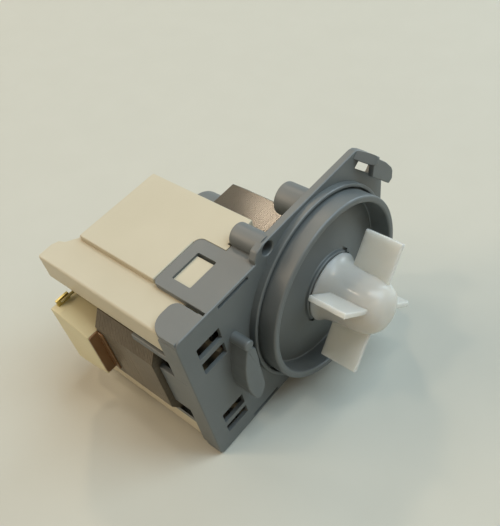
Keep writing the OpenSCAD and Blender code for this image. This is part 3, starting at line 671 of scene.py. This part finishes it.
# A thin sheet over the block's face towards the plate, folded on to the side of the core; its dark
# brown is painted shade.
strip_left, strip_right, strip_low, strip_high, strip_thick = -62.2, -58.4, -9, 9.7, 0.6
painted_shade_sheet = flat_blank("painted_shade_strip", rounded([
    (strip_left, strip_low, 1.2), (strip_left, strip_high, 0.8), (strip_right, strip_high, 0.4),
    (strip_right, strip_low, 0.4)], steps=3), "X", core_low, core_low + strip_thick,
    edge_high=0.15)
strip_fold = rounded_block("strip_fold", (-39.98, -58.95, -8.7), (-37, -58.36, 9.4), edge=0.15)
combine(painted_shade_sheet, strip_fold, "UNION")
smooth(painted_shade_sheet)
painted_shade_brown = moulded_plastic("painted_shade_brown", (0.25, 0.125, 0.044), (0.15, 0.076, 0.028),
                                   roughness=0.3)
finish(painted_shade_sheet, painted_shade_brown)
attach(painted_shade_sheet, "body")
brass = drawn_metal("strip_brass", (0.60, 0.50, 0.20), (0.50, 0.41, 0.15),
                    roughness=0.36, stretch=(1, 1, 6))
for node in ("terminal_upper", "terminal_lower"):
    finish(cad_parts[node], brass)

# Driver side of the hub: a nylon driver pressed on the shaft, and a rubber saddle on the
# impeller's stop that softens the driver's blow.
finish(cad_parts["drive_dog"], nylon)
finish(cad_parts["coupling_damper"], rubber)

# Impeller: one moulding in white translucent plastic, a round-nosed hub with four flat paddles.
# It turns on the shaft and is driven from inside by the driver. A disc closes the hub's back.
nose_x, nose_back, nose_r = 27.0, 15.0, 9.4
nose_steps, nose_power = 24, 2 / 3.0
paddle_low, paddle_high, paddle_edge = (10.2, 6.0, -0.95), (23.2, 21.6, 0.95), 0.4
paddle_count, first_paddle = 4, 48
hub_profile = [
    (4.5, 0.0), (4.5, 10.3), (4.7, 10.5), (5.45, 10.5), (5.5, 11.4), (5.7, 11.7), (6.0, 11.75),
    (6.4, 11.5), (7.2, 10.8), (8.4, 10.3), (10.0, 9.95), (12.0, 9.65), (nose_back, nose_r)]
for k in range(1, nose_steps):
    turn = math.pi / 2 * k / nose_steps
    hub_profile.append((nose_back + (nose_x - nose_back) * math.sin(turn) ** nose_power,
                        nose_r * math.cos(turn) ** nose_power))
hub_profile.append((nose_x, 0.0))
impeller = turned("impeller_moulding", hub_profile, steps=96)
paddle = rounded_block("paddle", paddle_low, paddle_high, paddle_edge)
for k in range(paddle_count):
    blade = copy_of(paddle, f"paddle_{k}")
    turn = math.radians(first_paddle + 360 / paddle_count * k)
    blade.data.transform(Matrix.Rotation(turn, 4, "X"))
    combine(impeller, blade, "UNION")
bpy.data.objects.remove(paddle)
room_start, room_end, room_r = 4, 15.1, 7.5
hub_room = turned("hub_room", [
    (room_start, 0), (room_start, room_r), (room_end, room_r), (room_end, 0)], steps=64)
bore_start, bore_end, bore_r = 14, 22.2, 2.05
hub_bore = turned("hub_bore", [
    (bore_start, 0), (bore_start, bore_r), (bore_end, bore_r), (bore_end, 0)], steps=48)
for tool in (hub_room, hub_bore):
    combine(impeller, tool, "DIFFERENCE")
smooth(impeller)
impeller_white = moulded_plastic("impeller_white", (0.665, 0.625, 0.56), (0.645, 0.605, 0.54),
                                 roughness=0.15, grain=0.004, shine=0.32)
skin = impeller_white.node_tree.nodes["Principled BSDF"]
skin.inputs["Subsurface Weight"].default_value = 1
skin.inputs["Subsurface Radius"].default_value = (1.0, 0.93, 0.84)
skin.inputs["Subsurface Scale"].default_value = 9 * mm
finish(impeller, impeller_white)
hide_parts("impeller")
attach(impeller, "wheel")
finish(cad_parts["hub_plate"], impeller_white)

# Table: a pale smooth top that the pump lies on, in lacquered board.
# It is tilted in the pump's frame, because the pump rests on the plate and the cover.
table_up, table_drop, table_size = Vector((0.0212, 0.0752, 0.9969)).normalized(), 34.335, 3
clear_selection()
bpy.ops.mesh.primitive_plane_add(size=table_size)
table = bpy.context.object
table.name = "table_top"
tilt = Vector((0, 0, 1)).rotation_difference(table_up).to_matrix().to_4x4()
table.data.transform(Matrix.Translation(table_up * -table_drop * mm) @ tilt)
table_white = moulded_plastic("table_white", (0.605, 0.595, 0.52), (0.595, 0.585, 0.51),
                              roughness=0.55, grain=0.01, shine=0.1)
finish(table, table_white)

# Light: soft boxes round the table, warm from the left and the back, cool from the right, with
# three small lamps and a pale room, as in a workshop by a window.
lamp_reach, box_size, lamp_size = 3.4, 1.6, 0.2


def soft_box(name, azimuth, elevation, size, level, colour):
    """A square lamp that lights a face turned to it at the given level."""
    across = math.cos(math.radians(elevation))
    way = Vector((across * math.cos(math.radians(azimuth)),
                  across * math.sin(math.radians(azimuth)), math.sin(math.radians(elevation))))
    lamp = bpy.data.lights.new(name, "AREA")
    lamp.shape = "SQUARE"
    lamp.size = size
    lamp.energy = level * (math.pi * lamp_reach) ** 2
    lamp.color = colour
    box = bpy.data.objects.new(name, lamp)
    bpy.context.scene.collection.objects.link(box)
    box.location = way * lamp_reach
    box.rotation_mode = "QUATERNION"
    box.rotation_quaternion = (-way).to_track_quat("-Z", "Y")


warm, pale_warm = (1.0, 0.80, 0.58), (1.0, 0.86, 0.70)
cool, pale_cool = (0.66, 0.86, 1.0), (0.72, 0.89, 1.0)
soft_box("window_box", azimuth=90, elevation=15, size=box_size, level=0.37, colour=cool)
soft_box("window_box_upper", azimuth=45, elevation=40, size=box_size, level=0.29, colour=cool)
soft_box("top_box", azimuth=45, elevation=65, size=box_size, level=0.39, colour=pale_cool)
soft_box("left_box", azimuth=227, elevation=36, size=box_size, level=0.34, colour=warm)
soft_box("back_box", azimuth=180, elevation=40, size=box_size, level=0.21, colour=pale_warm)
soft_box("front_box", azimuth=0, elevation=40, size=box_size, level=0.11, colour=pale_warm)
soft_box("side_box", azimuth=275, elevation=16, size=box_size, level=0.05, colour=pale_warm)
soft_box("back_lamp", azimuth=137.5, elevation=43.8, size=0.24, level=0.12, colour=warm)
soft_box("ceiling_lamp_1", azimuth=221, elevation=66, size=lamp_size, level=0.06, colour=pale_warm)
soft_box("ceiling_lamp_2", azimuth=55, elevation=81, size=lamp_size, level=0.06, colour=pale_warm)

# The room gives faint light, but is seen, and mirrored, as a pale wall.
world = bpy.data.worlds.new("room")
bpy.context.scene.world = world
world.use_nodes = True
nodes, links = world.node_tree.nodes, world.node_tree.links
room = nodes["Background"]
room.inputs["Color"].default_value = (1.0, 0.98, 0.94, 1)
room.inputs["Strength"].default_value = 0.02
wall = nodes.new("ShaderNodeBackground")
wall.inputs["Color"].default_value = (0.58, 0.57, 0.50, 1)
wall.inputs["Strength"].default_value = 1
ray = nodes.new("ShaderNodeLightPath")
seen = nodes.new("ShaderNodeMath")
seen.operation = "ADD"
links.new(ray.outputs["Is Camera Ray"], seen.inputs[0])
links.new(ray.outputs["Is Glossy Ray"], seen.inputs[1])
shown = nodes.new("ShaderNodeMath")
shown.operation = "ADD"
shown.use_clamp = True
links.new(seen.outputs["Value"], shown.inputs[0])
links.new(ray.outputs["Is Transmission Ray"], shown.inputs[1])
choose = nodes.new("ShaderNodeMixShader")
links.new(shown.outputs["Value"], choose.inputs["Fac"])
links.new(room.outputs["Background"], choose.inputs[1])
links.new(wall.outputs["Background"], choose.inputs[2])
links.new(choose.outputs["Shader"], nodes["World Output"].inputs["Surface"])

# Camera: the place that the photograph was taken from, solved on the outlines of the ring, the
# plate and the cover. The three ways are those of the picture, and the shift is in millimetres.
right = Vector((0.7499594787, 0.6377911247, -0.1754515931))
down = Vector((0.3911297553, -0.6414660913, -0.6599536107))
ahead = Vector((-0.5334588032, 0.4263141272, -0.7305326620))
shift = Vector((21.9414306, 5.2459234, 222.9754048))
focal_pixels, picture_height, sensor = 691.8629, 526, 36
eye = -(right * shift[0] + down * shift[1] + ahead * shift[2]) * mm
lens = bpy.data.cameras.new("photo_camera")
lens.sensor_width = sensor
lens.lens = sensor * focal_pixels / picture_height
lens.clip_start = 5 * mm
camera = bpy.data.objects.new("photo_camera", lens)
bpy.context.scene.collection.objects.link(camera)
camera.matrix_world = Matrix((
    (right[0], -down[0], -ahead[0], eye[0]), (right[1], -down[1], -ahead[1], eye[1]),
    (right[2], -down[2], -ahead[2], eye[2]), (0, 0, 0, 1)))
bpy.context.scene.camera = camera
bpy.context.scene.view_settings.view_transform = "Standard"
